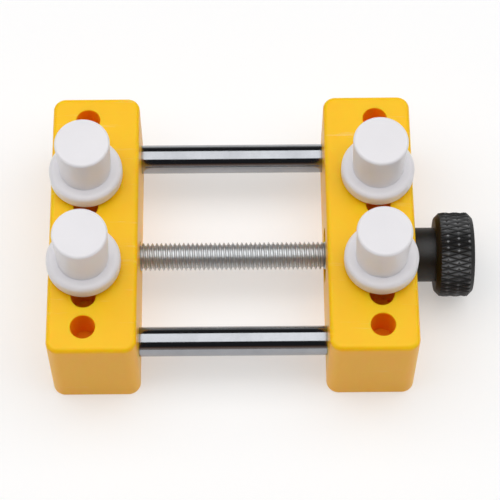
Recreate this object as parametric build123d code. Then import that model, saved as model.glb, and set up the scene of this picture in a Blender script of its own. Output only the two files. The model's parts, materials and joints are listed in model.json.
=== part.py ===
"""A small two-jaw holder for watch cases and movements, in millimetres.

Two moulded jaws face each other across an opening. The fixed jaw carries two guide rods and the
bearing of a lead screw; the moving jaw slides on the rods and is driven by the screw, which a knurled
knob turns. Round pegs stand in blind holes in the top of each jaw and grip the edge of the work.

Frame: X runs along the lead screw, from the moving jaw (-X) to the knob (+X). Y runs along the jaws,
-Y being the front. Z is up. The origin is the centre of the fixed jaw's underside.
"""

from build123d import *

from math import cos, radians, sin
import os

# --- driving dimensions -------------------------------------------------------------------------
JAW_WIDTH = 15.5            # X size of each jaw
JAW_LENGTH = 50.0           # Y size of each jaw
JAW_HEIGHT = 19.0           # Z size of each jaw
JAW_OPENING = 33.0          # gap between the jaws at rest
CORNER_RADIUS = 2.2         # upright edges of a jaw
TOP_RADIUS = 0.9            # edges round the top of a jaw
FOOT_RADIUS = 0.4           # edges round the underside of a jaw

HOLE_COUNT = 8              # peg holes along each jaw
HOLE_PITCH = 5.8
HOLE_RADIUS = 2.12
HOLE_DEPTH = 6.5
HOLE_EDGE = 0.12            # chamfer at the mouth of a peg hole
HOLE_SETBACK = 6.3          # from a jaw's outer face to its row of holes
PEG_PLACES = (2, 5)         # holes that hold a peg, counted from the front

PEG_HEIGHT = 12.5           # above the jaw
PEG_TOP_RADIUS = 4.8
PEG_WAIST_RADIUS = 4.45     # where the head meets the flange
PEG_TOP_EDGE = 0.5
PEG_WAIST_EDGE = 0.15
PEG_FLANGE_RADIUS = 6.45
PEG_FLANGE_HEIGHT = 3.5
PEG_FLANGE_TOP_EDGE = 0.9
PEG_FLANGE_FOOT_EDGE = 1.2
PEG_SHANK_RADIUS = 2.07
PEG_SHANK_LENGTH = 6.0
PEG_SHANK_TIP = 0.4

AXIS_HEIGHT = 8.0           # rods and lead screw above the bench
SCREW_Y = -1.65             # the lead screw lies a little in front of the middle
ROD_RADIUS = 2.6
ROD_SPREAD = 18.3           # each rod's distance from the middle
ROD_SEAT_DEPTH = 12.0       # rod held in the fixed jaw
ROD_EDGE = 0.4
ROD_RUNNING = 0.08          # radial clearance where the moving jaw slides on the rods
TAPPED_DEPTH = 9.0          # in each end of a rod

BUTTON_SCREW_RADIUS = 1.48  # M3 shank
BUTTON_SCREW_LENGTH = 8.0
BUTTON_HEAD_RADIUS = 2.85
BUTTON_HEAD_HEIGHT = 1.65
BUTTON_HEAD_RIM = 0.25      # straight side of the head, below its crown
BUTTON_CROWN_RADIUS = 1.4   # flat face on top of the crown
BUTTON_TIP_EDGE = 0.3
BUTTON_DOME_RISE = 0.7       # share of the crown's height at the middle of its arc
BUTTON_DOME_SWELL = 0.2      # how far that point stands out of a straight line
BUTTON_SOCKET_FLATS = 2.0   # hexagon key size
BUTTON_SOCKET_DEPTH = 1.0
M3_HOLE_RADIUS = 1.5
M3_CLEAR_RADIUS = 1.7
HEAD_POCKET_RADIUS = 3.15
FIXED_POCKET_DEPTH = 1.9    # head pocket in the fixed jaw's outer face
STOP_POCKET_DEPTH = 6.1     # pocket in the moving jaw's outer face, which stops it on the heads
STOP_HEAD_INSET = 0.35      # head below the moving jaw's outer face at rest

SCREW_RADIUS = 2.5          # M5 lead screw, drawn at its outer diameter
SCREW_TIP_INSET = 0.5       # screw's end inside the moving jaw's outer face at rest
SCREW_TIP_EDGE = 0.6
SCREW_RUNNING = 0.05        # radial clearance in the bush and in the insert
SCREW_CLEAR_RADIUS = 2.8    # plain hole through the rest of the moving jaw

SLEEVE_RADIUS = 3.2         # body of the bush and of the threaded insert
SLEEVE_FLANGE_RADIUS = 4.5
SLEEVE_FLANGE_THICK = 0.8
INSERT_LENGTH = 10.0

CLIP_RECESS_RADIUS = 5.0
CLIP_RECESS_DEPTH = 2.0
CLIP_GROOVE_RADIUS = 2.0
CLIP_GROOVE_WIDTH = 0.8
CLIP_RADIUS = 4.65
CLIP_THICK = 0.7
CLIP_MOUTH = 3.4
CLIP_RELIEF_RADIUS = 0.85
CLIP_RELIEF_SETBACK = 0.51    # from the groove out to the middle of a relief notch
CLIP_RELIEF_ANGLES = (-25, 205)   # degrees from +Y
CLIP_SLACK = 0.02           # between the clip and the bottom of its groove
CLIP_WASHER_RADIUS = 4.2
CLIP_WASHER_THICK = 0.45
THRUST_WASHER_RADIUS = 4.6
THRUST_WASHER_THICK = 0.4
WASHER_HOLE_RADIUS = 2.6
END_FLOAT = 0.05            # play between turning and still faces

HUB_RADIUS = 4.85
HUB_EDGE = 0.2
HUB_LENGTH = 3.65
KNOB_RADIUS = 7.6
KNOB_LENGTH = 6.7
KNOB_EDGE = 1.0
KNOB_DISH_RADIUS = 4.6
KNOB_DISH_DEPTH = 0.35
KNOB_END_WALL = 2.2         # left solid beyond the screw

SET_SCREW_RADIUS = 1.48
SET_SCREW_FLATS = 1.5
SET_SCREW_SOCKET_DEPTH = 1.0
SET_SCREW_INSET = 0.15      # below the hub's surface
SHAFT_FLAT_DEPTH = 0.4      # flat on the screw under the set screw
SHAFT_FLAT_LENGTH = 3.2

# --- places that follow from them ----------------------------------------------------------------
OUTER_FACE = JAW_WIDTH / 2                       # fixed jaw, knob side
INNER_FACE = -JAW_WIDTH / 2                      # fixed jaw, work side
MOVING_INNER_FACE = INNER_FACE - JAW_OPENING
MOVING_OUTER_FACE = MOVING_INNER_FACE - JAW_WIDTH
MOVING_CENTRE = MOVING_INNER_FACE - JAW_WIDTH / 2
FIXED_HOLE_X = OUTER_FACE - HOLE_SETBACK
MOVING_HOLE_X = MOVING_OUTER_FACE + HOLE_SETBACK

ROD_HELD_END = INNER_FACE + ROD_SEAT_DEPTH
ROD_FREE_END = MOVING_OUTER_FACE + STOP_HEAD_INSET + BUTTON_HEAD_HEIGHT

RECESS_FLOOR = INNER_FACE + CLIP_RECESS_DEPTH
CLIP_WASHER_FACE = RECESS_FLOOR - CLIP_WASHER_THICK
CLIP_FACE = CLIP_WASHER_FACE - END_FLOAT - CLIP_THICK

HUB_FACE = OUTER_FACE + THRUST_WASHER_THICK + END_FLOAT
KNOB_FACE = HUB_FACE + HUB_LENGTH
KNOB_END = KNOB_FACE + KNOB_LENGTH
SCREW_HELD_END = KNOB_END - KNOB_END_WALL
SCREW_FREE_END = MOVING_OUTER_FACE + SCREW_TIP_INSET
SET_SCREW_X = HUB_FACE + HUB_LENGTH / 2


def hole_y(place):
    """Y of a peg hole, counted from the front of the jaw."""
    return (place - (HOLE_COUNT - 1) / 2) * HOLE_PITCH


def along_x(radius, start, end, y=SCREW_Y):
    """A cylinder along X at the rods' height, from start to end. With no y it is on the lead screw."""
    middle = Pos((start + end) / 2, y, AXIS_HEIGHT)
    return middle * Rot(0, 90, 0) * Cylinder(radius, abs(end - start))


def turned_along_x(outline, y=SCREW_Y):
    """A solid turned about an axis along X. The closed outline has (x, radius) points."""
    face = make_face(Polyline(*outline, close=True))
    return Pos(0, y, AXIS_HEIGHT) * revolve(face, Axis.X)


# --- jaws ------------------------------------------------------------------------------------------
def peg_hole(x, y):
    """A blind peg hole with its chamfered mouth, to be cut from a jaw."""
    top = JAW_HEIGHT
    wall = HOLE_RADIUS
    outline = [
        (0, top - HOLE_DEPTH),
        (wall, top - HOLE_DEPTH),
        (wall, top - HOLE_EDGE),
        (wall + HOLE_EDGE, top),
        (wall + HOLE_EDGE, top + 1),
        (0, top + 1),
    ]
    face = make_face(Plane.XZ * Polyline(*outline, close=True))
    return Pos(x, y, 0) * revolve(face, Axis.Z)


def jaw_blank(centre_x, hole_x):
    """A rounded block with its row of peg holes."""
    block = Pos(0, 0, JAW_HEIGHT / 2) * Box(JAW_WIDTH, JAW_LENGTH, JAW_HEIGHT)
    block = fillet(block.edges().filter_by(Axis.Z), CORNER_RADIUS)
    block = fillet(block.faces().sort_by(Axis.Z)[-1].edges(), TOP_RADIUS)
    block = fillet(block.faces().sort_by(Axis.Z)[0].edges(), FOOT_RADIUS)
    block = Pos(centre_x, 0, 0) * block
    for place in range(HOLE_COUNT):
        block -= peg_hole(hole_x, hole_y(place))
    return block


def fixed_jaw():
    """Holds the rods' tapped ends, the bush of the lead screw and the recess for its clip."""
    jaw = jaw_blank(0, FIXED_HOLE_X)
    for y in (-ROD_SPREAD, ROD_SPREAD):
        jaw -= along_x(ROD_RADIUS, INNER_FACE - 1, ROD_HELD_END, y)
        jaw -= along_x(M3_CLEAR_RADIUS, ROD_HELD_END - 1, OUTER_FACE + 1, y)
        jaw -= along_x(HEAD_POCKET_RADIUS, OUTER_FACE - FIXED_POCKET_DEPTH, OUTER_FACE + 1, y)
    jaw -= along_x(SLEEVE_RADIUS, INNER_FACE - 1, OUTER_FACE + 1)
    jaw -= along_x(SLEEVE_FLANGE_RADIUS, OUTER_FACE - SLEEVE_FLANGE_THICK, OUTER_FACE + 1)
    jaw -= along_x(CLIP_RECESS_RADIUS, INNER_FACE - 1, RECESS_FLOOR)
    return jaw


def moving_jaw():
    """Slides on the rods, and holds the threaded insert."""
    jaw = jaw_blank(MOVING_CENTRE, MOVING_HOLE_X)
    pocket_floor = MOVING_OUTER_FACE + STOP_POCKET_DEPTH
    for y in (-ROD_SPREAD, ROD_SPREAD):
        jaw -= along_x(ROD_RADIUS + ROD_RUNNING, MOVING_OUTER_FACE - 1, MOVING_INNER_FACE + 1, y)
        jaw -= along_x(HEAD_POCKET_RADIUS, MOVING_OUTER_FACE - 1, pocket_floor, y)
    insert_end = MOVING_OUTER_FACE + INSERT_LENGTH
    jaw -= along_x(SLEEVE_RADIUS, MOVING_OUTER_FACE - 1, insert_end)
    jaw -= along_x(SCREW_CLEAR_RADIUS, insert_end - 1, MOVING_INNER_FACE + 1)
    flange_end = MOVING_OUTER_FACE + SLEEVE_FLANGE_THICK
    jaw -= along_x(SLEEVE_FLANGE_RADIUS, MOVING_OUTER_FACE - 1, flange_end)
    return jaw


# --- guide rods and their screws ---------------------------------------------------------------------
def guide_rod(y):
    """A round rod with a tapped hole in each end."""
    outline = [
        (ROD_FREE_END, 0),
        (ROD_FREE_END, ROD_RADIUS - ROD_EDGE),
        (ROD_FREE_END + ROD_EDGE, ROD_RADIUS),
        (ROD_HELD_END - ROD_EDGE, ROD_RADIUS),
        (ROD_HELD_END, ROD_RADIUS - ROD_EDGE),
        (ROD_HELD_END, 0),
    ]
    rod = turned_along_x(outline, y)
    rod -= along_x(M3_HOLE_RADIUS, ROD_FREE_END - 1, ROD_FREE_END + TAPPED_DEPTH, y)
    rod -= along_x(M3_HOLE_RADIUS, ROD_HELD_END - TAPPED_DEPTH, ROD_HELD_END + 1, y)
    return rod


def button_screw(seat_x, y, points):
    """A button-head screw whose head bears at seat_x. points is -1 if it points to -X, or 1."""
    crown, rim, rim_radius = BUTTON_HEAD_HEIGHT, BUTTON_HEAD_RIM, BUTTON_HEAD_RADIUS
    shank, shank_radius = BUTTON_SCREW_LENGTH, BUTTON_SCREW_RADIUS
    shoulder = (rim + BUTTON_DOME_RISE * (crown - rim),
                (rim_radius + BUTTON_CROWN_RADIUS) / 2 + BUTTON_DOME_SWELL)
    outline = (
        Polyline((crown, BUTTON_CROWN_RADIUS), (crown, 0), (-shank, 0),
                 (-shank, shank_radius - BUTTON_TIP_EDGE), (-shank + BUTTON_TIP_EDGE, shank_radius),
                 (0, shank_radius), (0, rim_radius), (rim, rim_radius))
        + ThreePointArc((rim, rim_radius), shoulder, (crown, BUTTON_CROWN_RADIUS))
    )
    screw = revolve(make_face(outline), Axis.X)
    hexagon = RegularPolygon(BUTTON_SOCKET_FLATS / 2, 6, major_radius=False)
    socket = extrude(Plane.YZ * hexagon, amount=BUTTON_SOCKET_DEPTH + 1)
    screw -= Pos(crown - BUTTON_SOCKET_DEPTH, 0, 0) * socket
    turn = Rot(0, 0, 180) if points > 0 else Rot(0, 0, 0)
    return Pos(seat_x, y, AXIS_HEIGHT) * turn * screw


# --- lead screw and what is on it ---------------------------------------------------------------------
def lead_screw():
    """The drive screw, with a groove for its clip and a flat for the knob's set screw."""
    screw = turned_along_x([
        (SCREW_FREE_END, 0),
        (SCREW_FREE_END, SCREW_RADIUS - SCREW_TIP_EDGE),
        (SCREW_FREE_END + SCREW_TIP_EDGE, SCREW_RADIUS),
        (CLIP_FACE, SCREW_RADIUS),
        (CLIP_FACE, CLIP_GROOVE_RADIUS),
        (CLIP_FACE + CLIP_GROOVE_WIDTH, CLIP_GROOVE_RADIUS),
        (CLIP_FACE + CLIP_GROOVE_WIDTH, SCREW_RADIUS),
        (SCREW_HELD_END, SCREW_RADIUS),
        (SCREW_HELD_END, 0),
    ])
    flat = Box(SHAFT_FLAT_LENGTH, 2 * SCREW_RADIUS, SCREW_RADIUS)
    flat_top = AXIS_HEIGHT - SCREW_RADIUS + SHAFT_FLAT_DEPTH
    return screw - Pos(SET_SCREW_X, SCREW_Y, flat_top - SCREW_RADIUS / 2) * flat


def flanged_sleeve(flange_end, inner_end, points):
    """A flanged sleeve on the screw. points is 1 if its body runs to +X from the flange, or -1."""
    flange_inner = flange_end + points * SLEEVE_FLANGE_THICK
    sleeve = along_x(SLEEVE_RADIUS, flange_end, inner_end)
    sleeve += along_x(SLEEVE_FLANGE_RADIUS, flange_end, flange_inner)
    return sleeve - along_x(SCREW_RADIUS + SCREW_RUNNING, flange_end - points, inner_end + points)


def washer(radius, start, thick):
    """A flat ring round the lead screw."""
    ring = along_x(radius, start, start + thick)
    return ring - along_x(WASHER_HOLE_RADIUS, start - 1, start + thick + 1)


def retaining_clip():
    """An E-shaped clip: a disc with a mouth and two relief notches, snapped into the groove."""
    start, end = CLIP_FACE, CLIP_FACE + CLIP_THICK
    clip = along_x(CLIP_RADIUS, start, end)
    clip -= along_x(CLIP_GROOVE_RADIUS + CLIP_SLACK, start - 1, end + 1)
    mouth = Box(CLIP_THICK + 2, CLIP_MOUTH, CLIP_RADIUS + 1)
    clip -= Pos(start + CLIP_THICK / 2, SCREW_Y, AXIS_HEIGHT + (CLIP_RADIUS + 1) / 2) * mouth
    notch = Rot(0, 90, 0) * Cylinder(CLIP_RELIEF_RADIUS, CLIP_THICK + 2)
    reach = CLIP_GROOVE_RADIUS + CLIP_RELIEF_SETBACK
    for angle in CLIP_RELIEF_ANGLES:
        y, z = reach * cos(radians(angle)), reach * sin(radians(angle))
        clip -= Pos(start + CLIP_THICK / 2, SCREW_Y + y, AXIS_HEIGHT + z) * notch
    return clip


def knob():
    """The turned knob: a plain hub and a wider grip, bored for the screw and drilled for its set screw."""
    body = turned_along_x([
        (HUB_FACE, 0),
        (HUB_FACE, HUB_RADIUS - HUB_EDGE),
        (HUB_FACE + HUB_EDGE, HUB_RADIUS),
        (KNOB_FACE, HUB_RADIUS),
        (KNOB_FACE, KNOB_RADIUS - KNOB_EDGE),
        (KNOB_FACE + KNOB_EDGE, KNOB_RADIUS),
        (KNOB_END - KNOB_EDGE, KNOB_RADIUS),
        (KNOB_END, KNOB_RADIUS - KNOB_EDGE),
        (KNOB_END, KNOB_DISH_RADIUS),
        (KNOB_END - KNOB_DISH_DEPTH, KNOB_DISH_RADIUS - KNOB_DISH_DEPTH),
        (KNOB_END - KNOB_DISH_DEPTH, 0),
    ])
    body -= along_x(SCREW_RADIUS, HUB_FACE - 1, SCREW_HELD_END)
    below = Pos(SET_SCREW_X, SCREW_Y, AXIS_HEIGHT - HUB_RADIUS)
    return body - below * Cylinder(M3_HOLE_RADIUS, 2 * HUB_RADIUS)


def knob_set_screw():
    """A socket set screw in the hub, which bears on the screw's flat."""
    low = AXIS_HEIGHT - HUB_RADIUS + SET_SCREW_INSET
    high = AXIS_HEIGHT - SCREW_RADIUS + SHAFT_FLAT_DEPTH
    middle = Pos(SET_SCREW_X, SCREW_Y, (low + high) / 2)
    screw = middle * Cylinder(SET_SCREW_RADIUS, high - low)
    socket = extrude(RegularPolygon(SET_SCREW_FLATS / 2, 6, major_radius=False),
                     amount=SET_SCREW_SOCKET_DEPTH + 1)
    return screw - Pos(SET_SCREW_X, SCREW_Y, low - 1) * socket


# --- pegs --------------------------------------------------------------------------------------------
def peg(x, y):
    """A moulded peg: a slightly tapered head on a round-rimmed flange, with a shank in the hole."""
    lower, upper = PEG_FLANGE_FOOT_EDGE, PEG_FLANGE_HEIGHT - PEG_FLANGE_TOP_EDGE
    foot_radius = PEG_FLANGE_RADIUS - PEG_FLANGE_FOOT_EDGE
    rim_radius = PEG_FLANGE_RADIUS - PEG_FLANGE_TOP_EDGE
    foot_bend = PEG_FLANGE_FOOT_EDGE * sin(radians(45))
    rim_bend = PEG_FLANGE_TOP_EDGE * sin(radians(45))
    waist_top = PEG_FLANGE_HEIGHT + PEG_WAIST_EDGE
    waist_out = PEG_WAIST_RADIUS + PEG_WAIST_EDGE
    waist_bend = PEG_WAIST_EDGE * (1 - sin(radians(45)))
    top_in = PEG_TOP_RADIUS - PEG_TOP_EDGE
    top_bend = PEG_TOP_EDGE * (1 - sin(radians(45)))
    shank_tip = PEG_SHANK_RADIUS - PEG_SHANK_TIP
    outline = (
        Polyline((0, PEG_HEIGHT), (0, -PEG_SHANK_LENGTH), (shank_tip, -PEG_SHANK_LENGTH),
                 (PEG_SHANK_RADIUS, -PEG_SHANK_LENGTH + PEG_SHANK_TIP), (PEG_SHANK_RADIUS, 0),
                 (foot_radius, 0))
        + ThreePointArc((foot_radius, 0), (foot_radius + foot_bend, lower - foot_bend),
                        (PEG_FLANGE_RADIUS, lower))
        + Line((PEG_FLANGE_RADIUS, lower), (PEG_FLANGE_RADIUS, upper))
        + ThreePointArc((PEG_FLANGE_RADIUS, upper), (rim_radius + rim_bend, upper + rim_bend),
                        (rim_radius, PEG_FLANGE_HEIGHT))
        + Line((rim_radius, PEG_FLANGE_HEIGHT), (waist_out, PEG_FLANGE_HEIGHT))
        + ThreePointArc((waist_out, PEG_FLANGE_HEIGHT),
                        (PEG_WAIST_RADIUS + waist_bend, PEG_FLANGE_HEIGHT + waist_bend),
                        (PEG_WAIST_RADIUS, waist_top))
        + Line((PEG_WAIST_RADIUS, waist_top), (PEG_TOP_RADIUS, PEG_HEIGHT - PEG_TOP_EDGE))
        + ThreePointArc((PEG_TOP_RADIUS, PEG_HEIGHT - PEG_TOP_EDGE),
                        (PEG_TOP_RADIUS - top_bend, PEG_HEIGHT - top_bend), (top_in, PEG_HEIGHT))
        + Line((top_in, PEG_HEIGHT), (0, PEG_HEIGHT))
    )
    return Pos(x, y, JAW_HEIGHT) * revolve(make_face(Plane.XZ * outline), Axis.Z)


def parts():
    """Every piece of the assembly by its node's name."""
    insert_end = MOVING_OUTER_FACE + INSERT_LENGTH
    made = {
        "fixed_jaw": fixed_jaw(),
        "moving_jaw": moving_jaw(),
        "screw_bush": flanged_sleeve(OUTER_FACE, RECESS_FLOOR, -1),
        "threaded_insert": flanged_sleeve(MOVING_OUTER_FACE, insert_end, 1),
        "lead_screw": lead_screw(),
        "clip_washer": washer(CLIP_WASHER_RADIUS, CLIP_WASHER_FACE, CLIP_WASHER_THICK),
        "retaining_clip": retaining_clip(),
        "thrust_washer": washer(THRUST_WASHER_RADIUS, OUTER_FACE, THRUST_WASHER_THICK),
        "knob": knob(),
        "knob_set_screw": knob_set_screw(),
    }
    for side, y in (("front", -ROD_SPREAD), ("rear", ROD_SPREAD)):
        made[f"{side}_guide_rod"] = guide_rod(y)
        made[f"{side}_rod_screw"] = button_screw(OUTER_FACE - FIXED_POCKET_DEPTH, y, -1)
        made[f"{side}_stop_screw"] = button_screw(ROD_FREE_END, y, 1)
    for side, place in zip(("front", "rear"), PEG_PLACES):
        made[f"fixed_jaw_{side}_peg"] = peg(FIXED_HOLE_X, hole_y(place))
        made[f"moving_jaw_{side}_peg"] = peg(MOVING_HOLE_X, hole_y(place))
    return made


os.makedirs("parts", exist_ok=True)
for node, shape in parts().items():
    export_step(shape, f"parts/{node}.step")
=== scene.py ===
"""The looks of a small holder for watch cases: two moulded jaws, guide rods, a lead screw and its knob.

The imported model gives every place. The jaws, rods, washers and small screws are shown as they are,
with their finishes. The knob, the lead screw, the threaded insert and the pegs are modelled here,
because their knurling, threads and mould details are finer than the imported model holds.
"""

import json
import logging
from contextlib import contextmanager
from dataclasses import dataclass, field
from enum import Enum
from math import cos, pi, radians, sin, tan, tau
from typing import Callable, Iterator

import bmesh
import bpy
from mathutils import Matrix, Vector


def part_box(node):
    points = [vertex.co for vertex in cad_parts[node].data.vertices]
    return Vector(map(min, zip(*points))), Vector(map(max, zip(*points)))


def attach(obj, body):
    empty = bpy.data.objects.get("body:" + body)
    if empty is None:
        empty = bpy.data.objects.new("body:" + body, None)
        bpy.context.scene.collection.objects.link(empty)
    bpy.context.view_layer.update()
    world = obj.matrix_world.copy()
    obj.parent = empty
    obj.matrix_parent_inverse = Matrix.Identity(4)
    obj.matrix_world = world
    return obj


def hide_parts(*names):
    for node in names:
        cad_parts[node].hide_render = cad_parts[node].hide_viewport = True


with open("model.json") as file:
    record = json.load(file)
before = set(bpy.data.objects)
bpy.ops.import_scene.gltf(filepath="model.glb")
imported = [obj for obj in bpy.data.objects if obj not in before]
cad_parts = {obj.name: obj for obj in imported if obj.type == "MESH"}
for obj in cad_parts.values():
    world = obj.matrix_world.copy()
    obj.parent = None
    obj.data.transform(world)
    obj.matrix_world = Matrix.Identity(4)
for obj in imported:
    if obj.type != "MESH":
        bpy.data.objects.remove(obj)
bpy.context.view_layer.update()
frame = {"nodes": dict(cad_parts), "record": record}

log = logging.getLogger("movement_holder")

MM = 0.001
WELD = 0.0005 * MM          # vertices nearer than this are one
SHARP = radians(32)         # edges sharper than this stay crisp
WAVE_SCALE = tau / 20       # a wave texture of this scale repeats once in a unit
MARGIN = 1.0                # millimetres by which a cutting tool overshoots what it cuts
HOLE_STEPS = 7              # from a row's first hole to its last

Colour = tuple[float, float, float, float]
Triple = tuple[float, float, float]
Test = Callable[[Vector], bool]
Settings = dict[str | int, object]


class Body(str, Enum):
    """The bodies that new pieces ride on, apart from the pegs, each of which is its own."""

    SCREW = "screw"
    JAW = "jaw"


class Slot(str, Enum):
    """The record's material slots."""

    JAW = "jaw_plastic"
    PEG = "peg_plastic"
    ROD = "polished_rod"
    STEEL = "bright_steel"
    SPRING = "spring_steel"
    BRASS = "turned_brass"
    KNOB = "black_metal"
    SET_SCREW = "black_screw"


# --- shader helpers ------------------------------------------------------------------------------


def linear(code: str) -> Colour:
    """Turns an sRGB hex colour into linear light.

    Args:
        code: six hex digits after a hash sign.

    Returns:
        Red, green, blue and an alpha of 1.
    """
    parts = [int(code[i : i + 2], 16) / 255 for i in (1, 3, 5)]
    red, green, blue = (p / 12.92 if p <= 0.04045 else ((p + 0.055) / 1.055) ** 2.4 for p in parts)
    return red, green, blue, 1.0


def add(tree: bpy.types.NodeTree, kind: str, settings: Settings | None = None,
        inputs: Settings | None = None) -> bpy.types.Node:
    """Adds a shader node with its settings and links.

    Args:
        tree: the node tree that it goes in.
        kind: the node's type, without its ShaderNode prefix.
        settings: properties of the node.
        inputs: socket name or number to a value, or to the output socket that feeds it.

    Returns:
        The new node.
    """
    node = tree.nodes.new("ShaderNode" + kind)
    for name, value in (settings or {}).items():
        setattr(node, name, value)
    for name, value in (inputs or {}).items():
        if isinstance(value, bpy.types.NodeSocket):
            tree.links.new(value, node.inputs[name])
        else:
            node.inputs[name].default_value = value
    return node


def ramp(tree: bpy.types.NodeTree, factor: bpy.types.NodeSocket,
         stops: dict[float, Colour]) -> bpy.types.NodeSocket:
    """Adds a colour ramp.

    Args:
        tree: the node tree that it goes in.
        factor: the socket that drives it.
        stops: position to colour, in order.

    Returns:
        The ramp's colour output.
    """
    node = add(tree, "ValToRGB", inputs={"Fac": factor})
    elements = node.color_ramp.elements
    while len(elements) < len(stops):
        elements.new(0.5)
    for element, (place, colour) in zip(elements, stops.items()):
        element.position = place
        element.color = colour
    return node.outputs["Color"]


# --- finishes ------------------------------------------------------------------------------------


@dataclass(frozen=True)
class Finish:
    """What every finish has: a name, a record slot, a colour and a surface."""

    name: str
    slot: Slot
    colour: str
    roughness: float

    def material(self) -> bpy.types.Material:
        """Returns this finish's material, which is built the first time."""
        found = bpy.data.materials.get(self.name)
        if found:
            return found
        made = bpy.data.materials.new(self.name)
        made.use_nodes = True
        tree = made.node_tree
        tree.nodes.clear()
        shader = add(tree, "BsdfPrincipled")
        place = add(tree, "TexCoord").outputs["Object"]
        self.build(tree, shader, place)
        add(tree, "OutputMaterial", inputs={"Surface": shader.outputs[0]})
        return made

    def build(self, tree: bpy.types.NodeTree, shader: bpy.types.Node, place: bpy.types.NodeSocket) -> None:
        """Adds the finish's own nodes.

        Args:
            tree: the material's node tree.
            shader: its Principled shader.
            place: the object coordinates, in metres.
        """
        raise NotImplementedError


@dataclass(frozen=True)
class MouldedPlastic(Finish):
    """Injection-moulded plastic: a soft gloss, light that bleeds a little under the skin, a faint orange peel
    from the mould's steel, and the hair scratches of a bench tool."""

    shade: str = "#FFFFFF"      # the colour's darker patches
    patch_mm: float = 11.0      # size of those patches
    bleed: float = 0.2          # share of the light that goes under the skin
    bleed_radius: Triple = (1.0, 1.0, 1.0)
    bleed_mm: float = 1.0
    ior: float = 1.54
    gloss: float = 0.5          # specular level
    peel_mm: float = 0.9        # spacing of the orange peel
    peel_depth_mm: float = 0.008
    peel_strength: float = 0.5
    scratch_mm: float = 14.0    # length of the hair scratches
    scratch_turn: Triple = (0.4, 0.9, 0.6)
    scratch_thinning: Triple = (1, 14, 9)       # real ones are finer than this, too fine to show
    scratched: str = "#FFFFFF"  # the colour where the skin is scratched
    scratch_paleness: float = 0.14
    scratch_dulling: float = 0.16

    def tint(self, tree: bpy.types.NodeTree, place: bpy.types.NodeSocket,
             colour: bpy.types.NodeSocket) -> bpy.types.NodeSocket:
        """Returns the colour as it is. A plastic that paints shade or light on some of its faces changes it
        here.
        """
        return colour

    def build(self, tree: bpy.types.NodeTree, shader: bpy.types.Node, place: bpy.types.NodeSocket) -> None:
        """Adds the plastic's cloudy colour, orange peel and scratches.

        Args:
            tree: the material's node tree.
            shader: its Principled shader.
            place: the object coordinates, in metres.
        """
        cloud = add(tree, "TexNoise", inputs={
            "Vector": place, "Scale": 1 / (self.patch_mm * MM), "Detail": 3.0})
        colour = ramp(tree, cloud.outputs["Fac"], {0.3: linear(self.shade), 0.65: linear(self.colour)})
        colour = self.tint(tree, place, colour)
        peel = add(tree, "TexNoise", inputs={
            "Vector": place, "Scale": 1 / (self.peel_mm * MM), "Detail": 1.5})
        stretch = add(tree, "Mapping", inputs={
            "Vector": place, "Rotation": self.scratch_turn, "Scale": self.scratch_thinning})
        hairs = add(tree, "TexNoise", inputs={
            "Vector": stretch.outputs[0], "Scale": 1 / (self.scratch_mm * MM),
            "Detail": 6.0, "Roughness": 0.7})
        scuffed = add(tree, "MapRange", inputs={
            "Value": hairs.outputs["Fac"], "From Min": 0.56, "From Max": 0.72,
            "To Min": self.roughness, "To Max": self.roughness + self.scratch_dulling})
        pale = add(tree, "MapRange", inputs={
            "Value": hairs.outputs["Fac"], "From Min": 0.6, "From Max": 0.75,
            "To Max": self.scratch_paleness})
        scratched = add(tree, "Mix", {"data_type": "RGBA"}, {
            "Factor": pale.outputs[0], "A": colour, "B": linear(self.scratched)})
        bump = add(tree, "Bump", inputs={
            "Height": peel.outputs["Fac"], "Strength": self.peel_strength,
            "Distance": self.peel_depth_mm * MM})
        tree.links.new(scratched.outputs["Result"], shader.inputs["Base Color"])
        tree.links.new(scuffed.outputs[0], shader.inputs["Roughness"])
        tree.links.new(bump.outputs[0], shader.inputs["Normal"])
        shader.inputs["IOR"].default_value = self.ior
        shader.inputs["Specular IOR Level"].default_value = self.gloss
        shader.inputs["Subsurface Weight"].default_value = self.bleed
        shader.inputs["Subsurface Radius"].default_value = self.bleed_radius
        shader.inputs["Subsurface Scale"].default_value = self.bleed_mm * MM


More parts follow.
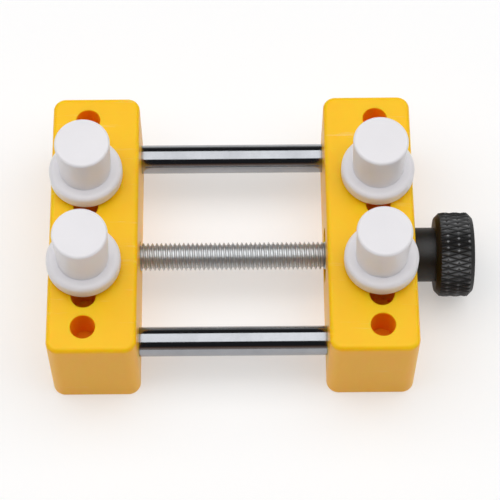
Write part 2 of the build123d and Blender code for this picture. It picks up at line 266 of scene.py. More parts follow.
@dataclass(frozen=True)
class HoleRow:
    """Where the jaws' peg holes are, in metres."""

    first: tuple[float, float]  # X and Y of the first hole
    rows_apart: float
    length: float               # of a row, from its first hole to its last
    pitch: float
    radius: float
    floor: float
    edge: float = 0.08 * MM

    def mask(self, tree: bpy.types.NodeTree, place: bpy.types.NodeSocket) -> bpy.types.NodeSocket:
        """Builds the nodes that tell the holes from the rest, where the jaws get their painted glow of light.

        Args:
            tree: the material's node tree.
            place: the object coordinates, in metres.

        Returns:
            A socket that is 1 on the holes' walls and floors, and 0 elsewhere.
        """
        parts = add(tree, "SeparateXYZ", inputs={"Vector": place})
        reach = {}
        for axis, start, step in (("X", self.first[0], self.rows_apart), ("Y", self.first[1], self.pitch)):
            offset = add(tree, "Math", {"operation": "SUBTRACT"}, {0: parts.outputs[axis], 1: start})
            nearest = add(tree, "Math", {"operation": "PINGPONG"}, {0: offset.outputs[0], 1: step / 2})
            reach[axis] = nearest.outputs[0]
        from_middle = add(tree, "Math", {"operation": "SUBTRACT"}, {
            0: parts.outputs["Y"], 1: self.first[1] + self.length / 2})
        either_way = add(tree, "Math", {"operation": "ABSOLUTE"}, {0: from_middle.outputs[0]})
        past_end = add(tree, "Math", {"operation": "SUBTRACT"}, {
            0: either_way.outputs[0], 1: self.length / 2})
        ended = add(tree, "Math", {"operation": "MAXIMUM"}, {0: reach["Y"], 1: past_end.outputs[0]})
        flat = add(tree, "CombineXYZ", inputs={"X": reach["X"], "Y": ended.outputs[0]})
        radius = add(tree, "VectorMath", {"operation": "LENGTH"}, {0: flat.outputs[0]})
        inside = add(tree, "MapRange", inputs={
            "Value": radius.outputs["Value"],
            "From Min": self.radius + self.edge, "From Max": self.radius + self.edge / 2})
        above = add(tree, "MapRange", inputs={
            "Value": parts.outputs["Z"], "From Min": self.floor - self.edge, "From Max": self.floor})
        both = add(tree, "Math", {"operation": "MULTIPLY"}, {0: inside.outputs[0], 1: above.outputs[0]})
        return both.outputs[0]


@dataclass(frozen=True, kw_only=True)
class JawPlastic(MouldedPlastic):
    """The jaws' plastic, which lets light through: yellow on top, deeper on its sides through painted shade,
    and orange inside its holes through a painted glow, for light that has come a long way through it."""

    # painted shade: a deeper colour on every face that doesn't face up
    painted_side_shade: str
    # painted light: an orange glow inside the holes, standing for light carried through the plastic
    painted_hole_glow: str
    holes: HoleRow

    def tint(self, tree: bpy.types.NodeTree, place: bpy.types.NodeSocket,
             colour: bpy.types.NodeSocket) -> bpy.types.NodeSocket:
        """Paints shade on the sides, which deepens their colour, and a glow of orange light in the holes.

        Args:
            tree: the material's node tree.
            place: the object coordinates, in metres.
            colour: the colour on top.

        Returns:
            The changed colour.
        """
        facing = add(tree, "TexCoord").outputs["Normal"]
        upward = add(tree, "SeparateXYZ", inputs={"Vector": facing}).outputs["Z"]
        # faces that don't face up get painted shade, and the holes a painted glow of light
        side = add(tree, "MapRange", inputs={"Value": upward, "From Min": 0.6, "From Max": 0.1})
        factors = [side.outputs[0], self.holes.mask(tree, place)]
        for factor, code in zip(factors, (self.painted_side_shade, self.painted_hole_glow)):
            mix = add(tree, "Mix", {"data_type": "RGBA"}, {"Factor": factor, "A": colour, "B": linear(code)})
            colour = mix.outputs["Result"]
        return colour


@dataclass(frozen=True)
class TurnedMetal(Finish):
    """Metal from a lathe or a grinder: fine rings round its axis, with a little dulling from handling."""

    shade: str = "#FFFFFF"
    ring_mm: float = 0.12       # feed of the tool, drawn as coarse as it needs to show
    ring_depth_mm: float = 0.0015
    tarnish_mm: float = 4.0
    dulling: float = 0.08       # where it has tarnished

    def build(self, tree: bpy.types.NodeTree, shader: bpy.types.Node, place: bpy.types.NodeSocket) -> None:
        """Adds the metal's tool rings and tarnish.

        Args:
            tree: the material's node tree.
            shader: its Principled shader.
            place: the object coordinates, in metres.
        """
        rings = add(tree, "TexWave", {"wave_type": "BANDS", "bands_direction": "X"}, {
            "Vector": place, "Scale": WAVE_SCALE / (self.ring_mm * MM), "Distortion": 0.6, "Detail": 2.0,
            "Detail Scale": 0.5})
        tarnish = add(tree, "TexNoise", inputs={
            "Vector": place, "Scale": 1 / (self.tarnish_mm * MM), "Detail": 5.0, "Roughness": 0.6})
        colour = ramp(tree, tarnish.outputs["Fac"], {0.35: linear(self.shade), 0.62: linear(self.colour)})
        dull = add(tree, "MapRange", inputs={
            "Value": tarnish.outputs["Fac"], "From Min": 0.35, "From Max": 0.7,
            "To Min": self.roughness + self.dulling, "To Max": self.roughness})
        bump = add(tree, "Bump", inputs={
            "Height": rings.outputs["Fac"], "Strength": 0.5, "Distance": self.ring_depth_mm * MM})
        tree.links.new(colour, shader.inputs["Base Color"])
        tree.links.new(dull.outputs[0], shader.inputs["Roughness"])
        tree.links.new(bump.outputs[0], shader.inputs["Normal"])
        shader.inputs["Metallic"].default_value = 1.0


@dataclass(frozen=True)
class BlackenedMetal(Finish):
    """Black-oxide steel: a dark satin skin, rubbed grey where fingers reach it, and darker nearer its axis,
    in the knurl's grooves and on the hub.
    """

    rubbed: str = "#FFFFFF"
    # the darker colour nearer the axis: in the knurl's grooves and, less, on the hub
    near_axis_colour: str = "#000000"
    axis: Triple = (0, 0, 0)
    low_radius: float = 7.0 * MM
    high_radius: float = 7.5 * MM
    hub_radius: float = 4.85 * MM
    hub_wear: float = 0.1       # of the wear on the diamonds' tips
    ring_mm: float = 0.24       # feed of the tool, drawn as coarse as it needs to show
    ring_depth_mm: float = 0.012
    grime_mm: float = 1.6

    def build(self, tree: bpy.types.NodeTree, shader: bpy.types.Node, place: bpy.types.NodeSocket) -> None:
        """Adds the wear and the darkening that follow the distance from the knob's axis, and the tool rings.

        Args:
            tree: the material's node tree.
            shader: its Principled shader.
            place: the object coordinates, in metres.
        """
        from_axis = add(tree, "VectorMath", {"operation": "SUBTRACT"}, {0: place, 1: self.axis})
        flat = add(tree, "VectorMath", {"operation": "MULTIPLY"}, {0: from_axis.outputs[0], 1: (0, 1, 1)})
        radius = add(tree, "VectorMath", {"operation": "LENGTH"}, {0: flat.outputs[0]})
        height = add(tree, "MapRange", inputs={
            "Value": radius.outputs["Value"], "From Min": self.low_radius, "From Max": self.high_radius})
        grime = add(tree, "TexNoise", inputs={
            "Vector": place, "Scale": 1 / (self.grime_mm * MM), "Detail": 5.0})
        worn = add(tree, "Math", {"operation": "MULTIPLY"}, {0: height.outputs[0], 1: grime.outputs["Fac"]})
        # the hub is lifted a little from the darker colour nearer the axis
        on_hub = add(tree, "MapRange", inputs={
            "Value": radius.outputs["Value"], "From Min": self.hub_radius + 0.3 * MM,
            "From Max": self.hub_radius + 0.1 * MM, "To Max": self.hub_wear})
        mixed = add(tree, "Math", {"operation": "MAXIMUM"}, {0: worn.outputs[0], 1: on_hub.outputs[0]})
        colour = ramp(tree, mixed.outputs[0], {
            0.0: linear(self.near_axis_colour), 0.3: linear(self.colour), 0.62: linear(self.rubbed)})
        rough = add(tree, "MapRange", inputs={
            "Value": mixed.outputs[0], "From Min": 0.0, "From Max": 0.6,
            "To Min": self.roughness + 0.12, "To Max": self.roughness - 0.1})
        rings = add(tree, "TexWave", {"wave_type": "BANDS", "bands_direction": "X"}, {
            "Vector": place, "Scale": WAVE_SCALE / (self.ring_mm * MM), "Distortion": 0.4, "Detail": 1.0})
        bump = add(tree, "Bump", inputs={
            "Height": rings.outputs["Fac"], "Strength": 0.8, "Distance": self.ring_depth_mm * MM})
        tree.links.new(colour, shader.inputs["Base Color"])
        tree.links.new(rough.outputs[0], shader.inputs["Roughness"])
        tree.links.new(bump.outputs[0], shader.inputs["Normal"])
        shader.inputs["Metallic"].default_value = 1.0


# Acetal: a dense milky white with a waxy gloss.
WHITE_ACETAL = MouldedPlastic("white_acetal", Slot.PEG, "#E8E6E9", 0.36, shade="#E4E2E5", gloss=0.4,
                              bleed=0.25, bleed_radius=(1.0, 0.95, 0.9), bleed_mm=0.9, ior=1.48,
                              peel_mm=0.7, peel_depth_mm=0.003)
# Plated, ground rod: a near mirror, duller than new chrome, with grinding lines that only just blur it.
# Its colour is darker than plated steel: partly a duller plating, partly painted shade.
PLATED_ROD = TurnedMetal("plated_polished_rod", Slot.ROD, "#A0A2A6", 0.06, shade="#94969A", ring_mm=0.3,
                         ring_depth_mm=0.0004, tarnish_mm=9.0)
# Bright steel from the bar: satin, with the lathe's rings.
BRIGHT_STEEL = TurnedMetal("bright_steel", Slot.STEEL, "#B9BABC", 0.26, shade="#A4A5A6", ring_mm=0.15)
# Spring steel, stamped and oiled: dark grey with a dull gloss.
SPRING_STEEL = TurnedMetal("oiled_spring_steel", Slot.SPRING, "#5B5C60", 0.34, shade="#4B4A4C", ring_mm=0.4)
# Free-cutting brass: warm yellow, darker where it has tarnished.
TURNED_BRASS = TurnedMetal("turned_brass", Slot.BRASS, "#DDB866", 0.24, shade="#C79E4E", ring_mm=0.18)
# Black-oxide screw: near black, and duller than the knob.
BLACK_SCREW = TurnedMetal("black_oxide_screw", Slot.SET_SCREW, "#3C3C3F", 0.4, shade="#303032", ring_mm=0.2)


def amber_abs() -> JawPlastic:
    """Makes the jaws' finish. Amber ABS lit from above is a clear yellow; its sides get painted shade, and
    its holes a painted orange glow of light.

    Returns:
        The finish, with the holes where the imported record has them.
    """
    mounts = {mount["name"]: mount for mount in frame["record"]["mounts"]}
    front, rear = mounts["fixed_jaw_front_hole"], mounts["fixed_jaw_rear_hole"]
    other = mounts["moving_jaw_front_hole"]
    x, y, top = front["pos_m"]
    length = rear["pos_m"][1] - y
    holes = HoleRow(
        first=(x, y), rows_apart=x - other["pos_m"][0], length=length, pitch=length / HOLE_STEPS,
        radius=front["dims"]["r_mm"] * MM, floor=top - front["dims"]["length_mm"] * MM)
    # the side colour is painted shade on the jaws' sides, and the hole colour a painted orange glow of light
    # in their holes
    return JawPlastic("amber_abs", Slot.JAW, "#FDC611", 0.34, shade="#FBC20F", gloss=0.2, bleed=0.7,
                      bleed_radius=(1.0, 0.45, 0.05), bleed_mm=2.2, painted_side_shade="#F9B50C",
                      painted_hole_glow="#FFA008", holes=holes)


def dress(piece: bpy.types.Object, finish: Finish) -> None:
    """Gives a piece one finish all over."""
    piece.data.materials.clear()
    piece.data.materials.append(finish.material())


# --- modelling helpers -----------------------------------------------------------------------------


def deselect_all() -> None:
    """Leaves edit mode and deselects every object."""
    active = bpy.context.view_layer.objects.active
    if active and active.mode != "OBJECT":
        bpy.ops.object.mode_set(mode="OBJECT")
    bpy.ops.object.select_all(action="DESELECT")


def pick(piece: bpy.types.Object) -> None:
    """Makes one object the only selected one, and the active one.

    Args:
        piece: that object.
    """
    deselect_all()
    piece.select_set(True)
    bpy.context.view_layer.objects.active = piece


@contextmanager
def editing(piece: bpy.types.Object) -> Iterator[None]:
    """Holds a piece in edit mode, with nothing of it selected at first.

    Args:
        piece: the piece to edit.

    Returns:
        A context, after which the piece is in object mode again.
    """
    pick(piece)
    bpy.ops.object.mode_set(mode="EDIT")
    bpy.ops.mesh.select_mode(type="VERT")
    bpy.ops.mesh.select_all(action="DESELECT")
    yield
    bpy.ops.object.mode_set(mode="OBJECT")


def select_vertices(piece: bpy.types.Object, test: Test) -> None:
    """Selects a piece's vertices by their place, in edit mode.

    Args:
        piece: the piece that is being edited.
        test: says of a vertex's place whether it is wanted.
    """
    mesh = bmesh.from_edit_mesh(piece.data)
    for vertex in mesh.verts:
        vertex.select_set(test(vertex.co))
    mesh.select_flush_mode()
    bmesh.update_edit_mesh(piece.data)


def close_up(piece: bpy.types.Object) -> None:
    """Merges doubles and turns every face outwards."""
    with editing(piece):
        bpy.ops.mesh.select_all(action="SELECT")
        bpy.ops.mesh.remove_doubles(threshold=WELD)
        bpy.ops.mesh.normals_make_consistent(inside=False)


def apply_modifier(piece: bpy.types.Object, kind: str, **settings: object) -> None:
    """Adds a modifier with its settings and applies it.

    Args:
        piece: the piece that it changes.
        kind: the modifier's type.
        settings: properties of the modifier.
    """
    pick(piece)
    modifier = piece.modifiers.new(kind.lower(), kind)
    for name, value in settings.items():
        setattr(modifier, name, value)
    bpy.ops.object.modifier_apply(modifier=modifier.name)


def combine(piece: bpy.types.Object, tool: bpy.types.Object, operation: str) -> None:
    """Joins, cuts or intersects a piece with a tool, which is used up.

    Args:
        piece: the piece that stays.
        tool: the closed shape that works on it.
        operation: UNION, DIFFERENCE or INTERSECT.
    """
    apply_modifier(piece, "BOOLEAN", object=tool, operation=operation, solver="EXACT")
    bpy.data.objects.remove(tool)


def smooth(piece: bpy.types.Object) -> None:
    """Shades a piece smooth across its gentle edges."""
    pick(piece)
    bpy.ops.object.shade_smooth_by_angle(angle=SHARP)


@dataclass(frozen=True)
class Corner:
    """A point of a turned outline.

    Attributes:
        along: place along the axis, in millimetres.
        radius: distance from the axis, in millimetres.
        round: radius that rounds the corner off, in millimetres.
    """

    along: float
    radius: float
    round: float = 0.0


def rounded(corners: list[Corner], steps: int = 6) -> list[tuple[float, float]]:
    """Turns an outline's corners into points, with an arc at each rounded corner.

    Args:
        corners: the outline, from one end to the other.
        steps: stretches that each arc is made of.

    Returns:
        Pairs of place along the axis and radius, in millimetres.
    """
    points = [(corners[0].along, corners[0].radius)]
    for before, here, after in zip(corners, corners[1:], corners[2:]):
        corner = Vector((here.along, here.radius))
        back = (Vector((before.along, before.radius)) - corner).normalized()
        ahead = (Vector((after.along, after.radius)) - corner).normalized()
        if not here.round:
            points.append(tuple(corner))
            continue
        half = back.angle(ahead) / 2
        reach = here.round / tan(half)
        centre = corner + (back + ahead).normalized() * (here.round / sin(half))
        start, end = corner + back * reach - centre, corner + ahead * reach - centre
        sweep = start.angle_signed(end)
        for step in range(steps + 1):
            turn = Matrix.Rotation(-sweep * step / steps, 2)
            points.append(tuple(centre + turn @ start))
    return points + [(corners[-1].along, corners[-1].radius)]


@dataclass(frozen=True)
class Spindle:
    """The axis that something is turned about.

    Attributes:
        start: a point on the axis, in metres, from which places along it are counted.
        along: the axis's direction.
        out: a direction square to it, in which the outline is drawn.
    """

    start: Vector
    along: Vector
    out: Vector

    def at(self, along: float, radius: float) -> Vector:
        """Returns the point that far along and out, both given in millimetres."""
        return self.start + (self.along * along + self.out * radius) * MM

    def draw(self, name: str, points: list[tuple[float, float]]) -> bpy.types.Object:
        """Draws an open outline, one extruded vertex after another.

        Args:
            name: the new piece's name.
            points: pairs of place along the axis and radius, in millimetres.

        Returns:
            The piece, which is only a line so far.
        """
        deselect_all()
        bpy.ops.mesh.primitive_plane_add(size=MM)
        piece = bpy.context.object
        piece.name = piece.data.name = name
        places = [self.at(*point) for point in points]
        with editing(piece):
            bpy.ops.mesh.select_all(action="SELECT")
            bpy.ops.mesh.merge(type="CENTER")
            bpy.ops.transform.translate(value=places[0])
            for here, there in zip(places, places[1:]):
                bpy.ops.mesh.extrude_vertices_move(TRANSFORM_OT_translate={"value": there - here})
        return piece

    def turn(self, name: str, corners: list[Corner], sides: int = 72, steps: int = 6) -> bpy.types.Object:
        """Turns a closed solid from an outline that starts and ends on the axis.

        Args:
            name: the new piece's name.
            corners: the outline.
            sides: flats round the solid.
            steps: stretches that each rounded corner is made of.

        Returns:
            The solid.
        """
        piece = self.draw(name, rounded(corners, steps))
        with editing(piece):
            bpy.ops.mesh.select_all(action="SELECT")
            bpy.ops.mesh.spin(steps=sides, angle=tau, center=self.start, axis=self.along)
        close_up(piece)
        return piece


def middle_of(node: str) -> Vector:
    """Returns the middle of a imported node's box."""
    low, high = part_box(node)
    return (low + high) / 2


def finish_piece(piece: bpy.types.Object, finish: Finish, body: str, *nodes: str) -> None:
    """Dresses a new piece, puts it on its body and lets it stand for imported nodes.

    Args:
        piece: the finished mesh.
        finish: its finish.
        body: the body that it rides on.
        nodes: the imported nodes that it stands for.
    """
    smooth(piece)
    dress(piece, finish)
    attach(piece, body)
    if nodes:
        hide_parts(*nodes)
    log.info("%s: %d faces on %s", piece.name, len(piece.data.polygons), body)


# --- sub-assemblies ----------------------------------------------------------------------------------


@dataclass
class Knob:
    """The turned knob: a plain hub and a diamond-knurled grip with chamfered ends.

    Sizes are in millimetres.
    """

    hub_radius: float = 4.85
    hub_edge: float = 0.2
    hub_sides: int = 120
    grip_radius: float = 7.6
    grip_length: float = 6.7
    chamfer: float = 1.0
    rim_edge: float = 0.12
    grip_sides: int = 168
    dish_radius: float = 4.6
    dish_depth: float = 0.35
    dish_edge: float = 0.1
    bore_radius: float = 2.5
    bore_sides: int = 48
    end_wall: float = 2.2
    drilling_radius: float = 1.5
    drilling_sides: int = 40
    diamonds: int = 42          # round the grip
    column: float = 1.9         # from one column of diamonds to the next, along the axis
    spare_columns: int = 3      # beyond the grip, and cut away with the ends
    groove_depth: float = 0.34
    tip_flat: float = 0.28
    spare: float = 0.3          # by which a cutting tool stands clear of what it cuts
    spindle: Spindle = field(init=False)
    length: float = field(init=False)

    def __post_init__(self) -> None:
        """Reads the knob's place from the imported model."""
        low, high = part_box("knob")
        middle = middle_of("knob")
        start = Vector((low.x, middle.y, middle.z))
        self.spindle = Spindle(start, Vector((1, 0, 0)), Vector((0, 0, 1)))
        self.length = (high.x - low.x) / MM

    def knurled_bar(self) -> bpy.types.Object:
        """Makes a bar with crossed grooves all over, longer than the grip.

        Returns:
            The closed bar.
        """
        start = self.length - self.grip_length - self.column
        columns = round(self.grip_length / self.column) + self.spare_columns
        low_radius = self.grip_radius - self.groove_depth
        spin = self.spindle
        bpy.ops.mesh.primitive_cylinder_add(
            vertices=2 * self.diamonds, radius=low_radius * MM, depth=self.column * MM,
            end_fill_type="NOTHING", location=spin.at(start + self.column / 2, 0), rotation=(0, pi / 2, 0))
        bar = bpy.context.object
        bar.name = bar.data.name = "knob"
        bpy.ops.object.transform_apply(location=True, rotation=True, scale=True)
        with editing(bar):
            far = spin.at(start + self.column, 0).x
            select_vertices(bar, lambda place: abs(place.x - far) < WELD)
            for _ in range(columns):
                bpy.ops.mesh.extrude_edges_move(TRANSFORM_OT_translate={"value": (self.column * MM, 0, 0)})
            select_vertices(bar, lambda place: self.is_peak(place, start))
            widen = self.grip_radius / low_radius
            bpy.ops.transform.resize(value=(1, widen, widen), center_override=spin.start)
            select_vertices(bar, lambda place: not self.is_peak(place, start))
            bpy.ops.mesh.vert_connect()
            select_vertices(bar, lambda place: self.is_peak(place, start))
            bpy.ops.mesh.bevel(offset=self.tip_flat * MM, affect="VERTICES")
            bpy.ops.mesh.select_all(action="SELECT")
            bpy.ops.mesh.fill_holes(sides=0)
        close_up(bar)
        return bar

    def is_peak(self, place: Vector, start: float) -> bool:
        """Says whether a vertex of the bar is a diamond's tip: every other one along and round it.

        Args:
            place: the vertex's place, in metres.
            start: where the bar starts, in millimetres along the axis.

        Returns:
            True for a tip, False for a point in a groove.
        """
        offset = place - self.spindle.start
        along = round((offset.x / MM - start) / self.column)
        angle = Vector((offset.y, offset.z)).angle_signed(Vector((0, 1)))
        return (along + round(angle / tau * 2 * self.diamonds)) % 2 == 0

    def envelope(self) -> bpy.types.Object:
        """Makes the shape that the lathe leaves of the bar: chamfered ends and a dished face.

        Returns:
            A closed solid that the bar is intersected with.
        """
        near, far = self.length - self.grip_length, self.length
        rim, out = self.grip_radius - self.chamfer, self.chamfer + self.spare
        outline = [
            Corner(near, 0), Corner(near, rim, self.rim_edge), Corner(near + out, rim + out),
            Corner(far - out, rim + out), Corner(far, rim, self.rim_edge),
            Corner(far, self.dish_radius, self.dish_edge),
            Corner(far - self.dish_depth, self.dish_radius - self.dish_depth, self.dish_edge),
            Corner(far - self.dish_depth, 0)]
        return self.spindle.turn("envelope", outline, sides=self.grip_sides, steps=3)

    def build(self, finish: Finish) -> None:
        """Knurls, turns, bores and drills the knob.

        Args:
            finish: the knob's finish.
        """
        knob = self.knurled_bar()
        combine(knob, self.envelope(), "INTERSECT")
        overlap = self.length - self.grip_length + self.spare
        hub = [Corner(0, 0), Corner(0, self.hub_radius, self.hub_edge), Corner(overlap, self.hub_radius),
               Corner(overlap, 0)]
        combine(knob, self.spindle.turn("hub", hub, sides=self.hub_sides), "UNION")
        floor = self.length - self.end_wall
        bore = [
            Corner(-self.spare, 0), Corner(-self.spare, self.bore_radius),
            Corner(floor, self.bore_radius), Corner(floor, 0)]
        combine(knob, self.spindle.turn("bore", bore, sides=self.bore_sides), "DIFFERENCE")
        place = middle_of("knob_set_screw")
        deep = Vector((place.x, place.y, self.spindle.start.z))
        drill = Spindle(deep, Vector((0, 0, -1)), Vector((0, 1, 0)))
        out = self.hub_radius + MARGIN
        hole = [
            Corner(0, 0), Corner(0, self.drilling_radius), Corner(out, self.drilling_radius), Corner(out, 0)]
        combine(knob, drill.turn("drilling", hole, sides=self.drilling_sides), "DIFFERENCE")
        close_up(knob)
        knob.name = knob.data.name = "knurled_knob"
        finish_piece(knob, finish, Body.SCREW.value, "knob")


@dataclass
class LeadScrew:
    """The lead screw: an M5 thread and a plain journal with the clip's groove. Sizes are in millimetres."""

    radius: float = 2.5
    pitch: float = 0.8
    thread_depth: float = 0.49
    crest_flat: float = 0.1
    root_flat: float = 0.2
    sides: int = 36
    spare_turns: int = 2        # of thread at each end, cut away afterwards
    tip_edge: float = 0.6
    clear: float = 0.2          # by which the tool that cuts the tip stands off the thread
    groove_radius: float = 2.0
    groove_width: float = 0.8
    plain_before_clip: float = 1.0
    journal_edge: float = 0.3
    spindle: Spindle = field(init=False)
    length: float = field(init=False)
    clip_at: float = field(init=False)

    def __post_init__(self) -> None:
        """Reads the screw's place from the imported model."""
        low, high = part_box("lead_screw")
        middle = middle_of("knob")
        start = Vector((low.x, middle.y, middle.z))
        self.spindle = Spindle(start, Vector((1, 0, 0)), Vector((0, 0, 1)))
        self.length = (high.x - low.x) / MM
        self.clip_at = (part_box("retaining_clip")[0].x - low.x) / MM

    def thread(self, end: float) -> bpy.types.Object:
        """Makes the threaded part, from the screw's free end to a place along it.

        Args:
            end: where the thread ends, in millimetres from the free end.

        Returns:
            A closed solid.
        """
        root = self.radius - self.thread_depth
        flank = (self.pitch - self.crest_flat - self.root_flat) / 2
        crest = self.root_flat + flank
        flats = [0, self.root_flat, crest, crest + self.crest_flat, self.pitch]
        profile = list(zip(flats, [root, root, self.radius, self.radius, root]))
        at_origin = Spindle(Vector(), self.spindle.along, self.spindle.out)
        thread = at_origin.draw("lead_screw_thread", profile)
        turns = int(end / self.pitch) + 2 * self.spare_turns
        apply_modifier(
            thread, "SCREW", axis="X", angle=tau, screw_offset=self.pitch * MM, iterations=turns,
            steps=self.sides, render_steps=self.sides, use_merge_vertices=True, merge_threshold=WELD)
        with editing(thread):
            bpy.ops.mesh.select_all(action="SELECT")
            bpy.ops.mesh.remove_doubles(threshold=WELD)
            bpy.ops.transform.translate(value=self.spindle.at(-self.spare_turns * self.pitch, 0))
            for place, side in ((0.0, -1), (end, 1)):
                bpy.ops.mesh.select_all(action="SELECT")
                bpy.ops.mesh.bisect(
                    plane_co=self.spindle.at(place, 0), plane_no=self.spindle.along * side, use_fill=True,
                    clear_outer=True, threshold=WELD / 10)
        close_up(thread)
        wide = self.radius + self.clear
        tip = [
            Corner(-MARGIN, 0), Corner(-MARGIN, self.radius - self.tip_edge - MARGIN),
            Corner(self.tip_edge + self.clear, wide), Corner(end + MARGIN, wide), Corner(end + MARGIN, 0)]
        combine(thread, self.spindle.turn("tip", tip), "INTERSECT")
        return thread

    def journal(self, start: float) -> bpy.types.Object:
        """Makes the plain part, to the screw's held end.

        Args:
            start: where it starts, in millimetres from the free end.

        Returns:
            A closed solid.
        """
        clip, past_clip = self.clip_at, self.clip_at + self.groove_width
        outline = [
            Corner(start, 0), Corner(start, self.radius - self.journal_edge),
            Corner(start + self.journal_edge, self.radius), Corner(clip, self.radius),
            Corner(clip, self.groove_radius), Corner(past_clip, self.groove_radius),
            Corner(past_clip, self.radius), Corner(self.length, self.radius), Corner(self.length, 0)]
        return self.spindle.turn("lead_screw_journal", outline)

    def build(self, finish: Finish) -> None:
        """Makes both parts of the screw, which meet face to face.

        Args:
            finish: the finish of both.
        """
        change = self.clip_at - self.plain_before_clip
        thread = self.thread(change)
        journal = self.journal(change)
        finish_piece(thread, finish, Body.SCREW.value, "lead_screw")
        finish_piece(journal, finish, Body.SCREW.value)


@dataclass
class Pegs:
    """The moulded pegs that stand in the jaws' holes: one is modelled and the rest are copies of it.

    Sizes are in millimetres.
    """

    nodes: tuple[str, ...]
    height: float = 12.5        # above the jaw
    top_radius: float = 4.8
    waist_radius: float = 4.45
    top_edge: float = 0.5
    waist_edge: float = 0.15
    flange_radius: float = 6.45
    flange_height: float = 3.5
    flange_top_edge: float = 0.9
    flange_foot_edge: float = 1.2
    shank_radius: float = 2.07
    shank_length: float = 6.0
    shank_edge: float = 0.4
    dimple_radius: float = 0.9  # the mould's gate, under the shank
    dimple_floor_radius: float = 0.63
    dimple_edge: float = 0.1
    dimple_depth: float = 0.3
    sides: int = 96
    steps: int = 7              # in each rounded corner

    def foot(self, node: str) -> Vector:
        """Finds where a peg's axis meets the top of its jaw.

        Args:
            node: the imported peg.

        Returns:
            That point, in metres.
        """
        low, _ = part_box(node)
        middle = middle_of(node)
        return Vector((middle.x, middle.y, low.z + self.shank_length * MM))

    def model(self, node: str) -> bpy.types.Object:
        """Turns a peg about its own axis, from the gate's dimple up to the top.

        Args:
            node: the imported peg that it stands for.

        Returns:
            The closed solid.
        """
        spindle = Spindle(self.foot(node), Vector((0, 0, 1)), Vector((1, 0, 0)))
        under = -self.shank_length
        outline = [
            Corner(under + self.dimple_depth, 0),
            Corner(under + self.dimple_depth, self.dimple_floor_radius, self.dimple_edge),
            Corner(under, self.dimple_radius, self.dimple_edge),
            Corner(under, self.shank_radius, self.shank_edge),
            Corner(0, self.shank_radius), Corner(0, self.flange_radius, self.flange_foot_edge),
            Corner(self.flange_height, self.flange_radius, self.flange_top_edge),
            Corner(self.flange_height, self.waist_radius, self.waist_edge),
            Corner(self.height, self.top_radius, self.top_edge), Corner(self.height, 0)]
        return spindle.turn(node + "_moulding", outline, self.sides, self.steps)

    def copy(self, first: bpy.types.Object, node: str, shift: Vector) -> bpy.types.Object:
        """Copies a peg, mesh and all, and moves the copy's mesh.

        Args:
            first: the peg that was modelled.
            node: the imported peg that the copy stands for.
            shift: the way from the first peg to it.

        Returns:
            The copy.
        """
        pick(first)
        bpy.ops.object.duplicate(linked=False)
        peg = bpy.context.object
        peg.name = peg.data.name = node + "_moulding"
        with editing(peg):
            bpy.ops.mesh.select_all(action="SELECT")
            bpy.ops.transform.translate(value=shift)
        return peg

    def build(self, finish: Finish) -> None:
        """Models the first peg, copies it to the others' places and dresses them all.

        Args:
            finish: the finish of every peg.
        """
        first = self.model(self.nodes[0])
        start = self.foot(self.nodes[0])
        pegs = [first] + [self.copy(first, node, self.foot(node) - start) for node in self.nodes[1:]]
        for peg, node in zip(pegs, self.nodes):
            finish_piece(peg, finish, node, node)


@dataclass
class ThreadedInsert:
    """The flanged brass insert that the lead screw runs in. Sizes are in millimetres."""

    flange_radius: float = 4.5
    flange_thick: float = 0.8
    body_radius: float = 3.2
    bore_radius: float = 2.56
    mouth_edge: float = 0.35
    flange_edge: float = 0.12
    end_edge: float = 0.15
    sides: int = 96
    spindle: Spindle = field(init=False)
    length: float = field(init=False)

    def __post_init__(self) -> None:
        """Reads the insert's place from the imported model."""
        low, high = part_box("threaded_insert")
        middle = middle_of("threaded_insert")
        self.spindle = Spindle(Vector((low.x, middle.y, middle.z)), Vector((1, 0, 0)), Vector((0, 0, 1)))
        self.length = (high.x - low.x) / MM

    def build(self, finish: Finish) -> None:
        """Turns the insert and bores it, with a chamfered mouth at its flange.

        Args:
            finish: the insert's finish.
        """
        outline = [
            Corner(0, 0), Corner(0, self.flange_radius, self.flange_edge),
            Corner(self.flange_thick, self.flange_radius, self.flange_edge),
            Corner(self.flange_thick, self.body_radius), Corner(self.length, self.body_radius, self.end_edge),
            Corner(self.length, 0)]
        insert = self.spindle.turn("brass_insert", outline, self.sides, steps=3)
        wide, past_end = self.bore_radius + self.mouth_edge, self.length + MARGIN
        bore = [
            Corner(-MARGIN, 0), Corner(-MARGIN, wide + MARGIN), Corner(self.mouth_edge, self.bore_radius),
            Corner(past_end, self.bore_radius), Corner(past_end, 0)]
        combine(insert, self.spindle.turn("bore", bore), "DIFFERENCE")
        close_up(insert)
        finish_piece(insert, finish, Body.JAW.value, "threaded_insert")


@dataclass
class Frame:
    """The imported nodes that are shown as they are, with their finishes."""

    finishes: dict[str, Finish]

    def build(self) -> None:
        """Dresses each node."""
        for node, finish in self.finishes.items():
            dress(frame["nodes"][node], finish)
            log.info("%s: packed node, %s", node, finish.name)


@dataclass
class SoftBox:
    """A rectangular studio light that looks at the holder. Sizes are in metres."""

    name: str
    azimuth: float
    elevation: float
    distance: float
    width: float
    height: float
    power: float
    tint: str = "#FFFFFF"

    def build(self, target: Vector) -> None:
        """Hangs the light on its side of a target, and turns it that way.

        Args:
            target: the point that it lights.
        """
        turn, rise = radians(self.azimuth), radians(self.elevation)
        back = Vector((sin(turn) * cos(rise), -cos(turn) * cos(rise), sin(rise)))
        deselect_all()
        bpy.ops.object.light_add(type="AREA", location=target + back * self.distance)
        lamp = bpy.context.object
        lamp.name = self.name
        lamp.rotation_euler = back.to_track_quat("Z", "Y").to_euler()
        lamp.data.shape = "RECTANGLE"
        lamp.data.size, lamp.data.size_y = self.width, self.height
        lamp.data.energy = self.power
        lamp.data.color = linear(self.tint)[:3]


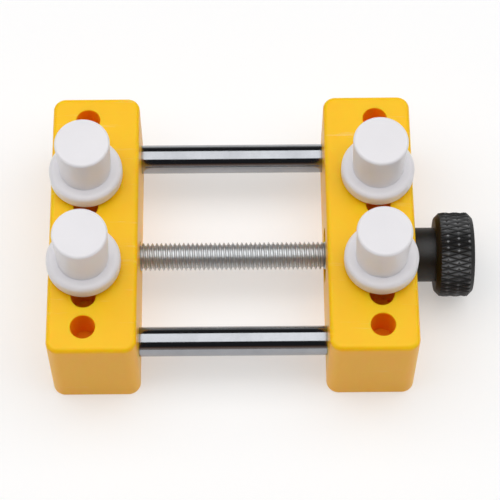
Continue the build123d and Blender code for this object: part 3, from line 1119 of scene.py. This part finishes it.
@dataclass
class Studio:
    """The camera, the soft lights and the plain pale floor."""

    focal: float = 151.2        # millimetres
    sensor: float = 36.0        # millimetres across
    nearest: float = 0.01       # metres from the camera at which things start to show
    azimuth: float = -0.798     # degrees; the camera looks along +Y and a little across
    elevation: float = 63.411
    roll: float = 0.238
    distance: float = 377.263 * MM
    aim: tuple[float, float] = (3.128 * MM, -0.422 * MM)    # from the middle of the jaws' gap
    aim_height: float = 8.0 * MM
    floor_size: float = 8.0
    table_glow: float = 0.38    # a lit white table, which softens the shadows
    horizon: str = "#8C8B8A"
    ceiling: str = "#2C2D30"
    lights: list[SoftBox] = field(default_factory=lambda: [
        SoftBox("overhead", 180, 84, 1.2, 3.4, 1.6, 33.0),
        SoftBox("warm_front", 0, 12, 1.2, 1.6, 0.5, 0.25, tint="#FFB070"),
    ])

    def target(self) -> Vector:
        """Returns the point that the camera is aimed at."""
        gap = (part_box("moving_jaw")[1].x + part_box("fixed_jaw")[0].x) / 2
        return Vector((gap + self.aim[0], self.aim[1], self.aim_height))

    def camera(self) -> None:
        """Sets up the camera."""
        turn, rise, roll = radians(self.azimuth), radians(self.elevation), radians(self.roll)
        back = Vector((sin(turn) * cos(rise), -cos(turn) * cos(rise), sin(rise)))
        across = Vector((cos(turn), sin(turn), 0))
        up = back.cross(across)
        right = across * cos(roll) + up * sin(roll)
        top = up * cos(roll) - across * sin(roll)
        deselect_all()
        bpy.ops.object.camera_add()
        camera = bpy.context.object
        camera.matrix_world = Matrix.Translation(self.target() + back * self.distance) @ Matrix(
            (right, top, back)).transposed().to_4x4()
        camera.data.lens = self.focal
        camera.data.sensor_width = self.sensor
        camera.data.clip_start = self.nearest
        bpy.context.scene.camera = camera

    def floor(self) -> None:
        """Lays the floor, which isn't part of the holder."""
        deselect_all()
        bpy.ops.mesh.primitive_plane_add(size=self.floor_size)
        floor = bpy.context.object
        floor.name = "floor"
        paint = bpy.data.materials.new("pale_floor")
        paint.use_nodes = True
        shader = paint.node_tree.nodes["Principled BSDF"]
        shader.inputs["Base Color"].default_value = linear("#CBCBCB")
        shader.inputs["Roughness"].default_value = 0.8
        shader.inputs["Emission Color"].default_value = linear("#FFFFFF")
        shader.inputs["Emission Strength"].default_value = self.table_glow
        floor.data.materials.append(paint)

    def room(self) -> None:
        """Gives the room pale walls and a dark ceiling, which draws the dark lines on polished metal."""
        world = bpy.data.worlds.new("studio")
        world.use_nodes = True
        tree = world.node_tree
        tree.nodes.clear()
        way = add(tree, "TexCoord").outputs["Generated"]
        height = add(tree, "SeparateXYZ", inputs={"Vector": way}).outputs["Z"]
        pale, dark = linear(self.horizon), linear(self.ceiling)
        walls = ramp(tree, height, {0.0: pale, 0.16: pale, 0.3: dark})
        light = add(tree, "Background", inputs={"Color": walls})
        add(tree, "OutputWorld", inputs={"Surface": light.outputs[0]})
        bpy.context.scene.world = world

    def build(self) -> None:
        """Sets up everything round the holder."""
        self.camera()
        self.floor()
        self.room()
        for light in self.lights:
            light.build(self.target())
        bpy.context.scene.view_settings.view_transform = "Standard"


def main() -> None:
    """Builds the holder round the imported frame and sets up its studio."""
    logging.basicConfig(level=logging.INFO, format="%(message)s")
    Studio().build()
    knob = Knob()
    blackened = BlackenedMetal(
        "black_oxide_steel", Slot.KNOB, "#515152", 0.42, rubbed="#757576", near_axis_colour="#333333",
        axis=tuple(knob.spindle.start), low_radius=(knob.grip_radius - knob.groove_depth) * MM,
        high_radius=knob.grip_radius * MM, hub_radius=knob.hub_radius * MM)
    amber = amber_abs()
    finishes: dict[str, Finish] = {
        "fixed_jaw": amber, "moving_jaw": amber, "screw_bush": TURNED_BRASS, "clip_washer": BRIGHT_STEEL,
        "retaining_clip": SPRING_STEEL, "thrust_washer": BRIGHT_STEEL, "knob_set_screw": BLACK_SCREW}
    for side in ("front", "rear"):
        finishes[f"{side}_guide_rod"] = PLATED_ROD
        finishes[f"{side}_rod_screw"] = BRIGHT_STEEL
        finishes[f"{side}_stop_screw"] = BRIGHT_STEEL
    Frame(finishes).build()
    pegs = tuple(f"{jaw}_{side}_peg" for side in ("front", "rear") for jaw in ("fixed_jaw", "moving_jaw"))
    Pegs(pegs).build(WHITE_ACETAL)
    knob.build(blackened)
    LeadScrew().build(BRIGHT_STEEL)
    ThreadedInsert().build(TURNED_BRASS)
    deselect_all()


if __name__ == "__main__":
    main()
